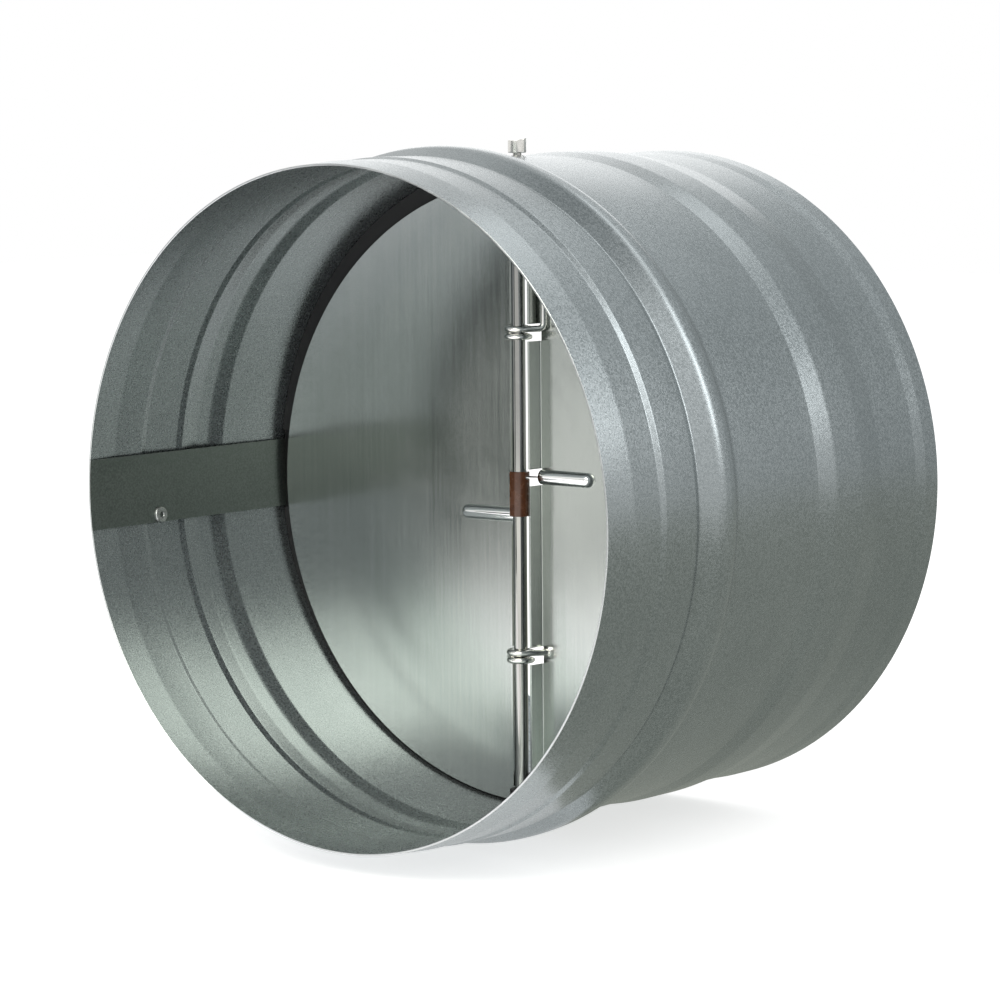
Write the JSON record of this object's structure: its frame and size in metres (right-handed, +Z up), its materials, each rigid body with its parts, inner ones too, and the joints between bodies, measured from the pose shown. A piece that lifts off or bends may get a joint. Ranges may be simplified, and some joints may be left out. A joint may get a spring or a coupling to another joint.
{
  "type": "backdraft damper",
  "caption": "Round ribbed steel duct section with spring-closed half-round blades on an upright centre shaft, opening one way and shutting against a rubber seat.",
  "frame": {"origin": "middle of the duct section, on the duct axis", "axes": "+Y along the duct axis towards the inlet, -Y the way the blades open, +Z up along the hinge shaft, +X to the right seen from the outlet"},
  "size_m": [0.2056, 0.1622, 0.2098],
  "materials": {
    "casing_steel": "galvanised, fine spangle grain",
    "strip_steel": "galvanised, satin",
    "rivet_steel": "satin",
    "seal_rubber": "matte",
    "shaft_steel": "satin",
    "cap_metal": "satin",
    "bush_rubber": "matte",
    "sleeve_plastic": "gloss",
    "spring_wire": "bright drawn wire",
    "blade_aluminium": "brushed, grain upright",
    "clip_wire": "polished",
    "keeper_metal": "polished"
  },
  "bodies": {
    "duct": {"casing": "casing_steel", "seam_strip": "strip_steel", "outlet_seam_rivet": "rivet_steel", "inlet_seam_rivet": "rivet_steel", "seal_ring": "seal_rubber", "shaft": "shaft_steel", "shaft_cap": "cap_metal", "upper_bush": "bush_rubber", "lower_bush": "bush_rubber", "spring_sleeve": "sleeve_plastic", "torsion_spring": "spring_wire"},
    "left_leaf": {"left_blade": "blade_aluminium", "left_upper_clip": "clip_wire", "left_lower_clip": "clip_wire", "left_leg_keeper": "keeper_metal"},
    "right_leaf": {"right_blade": "blade_aluminium", "right_upper_clip": "clip_wire", "right_lower_clip": "clip_wire", "right_leg_keeper": "keeper_metal"}
  },
  "joints": [
    {"name": "left_hinge", "type": "hinge", "parent": "duct", "child": "left_leaf", "pos_m": [0, 0.0037, 0], "axis": [0, 0, 1], "range_deg": [0, 75], "stiffness_Nm_per_rad": 0.01, "springref_deg": -28.65, "deforming": ["torsion_spring"]},
    {"name": "right_hinge", "type": "hinge", "parent": "duct", "child": "right_leaf", "pos_m": [0, 0.0037, 0], "axis": [0, 0, -1], "range_deg": [0, 75], "stiffness_Nm_per_rad": 0.01, "springref_deg": -28.65, "deforming": ["torsion_spring"]}
  ]
}
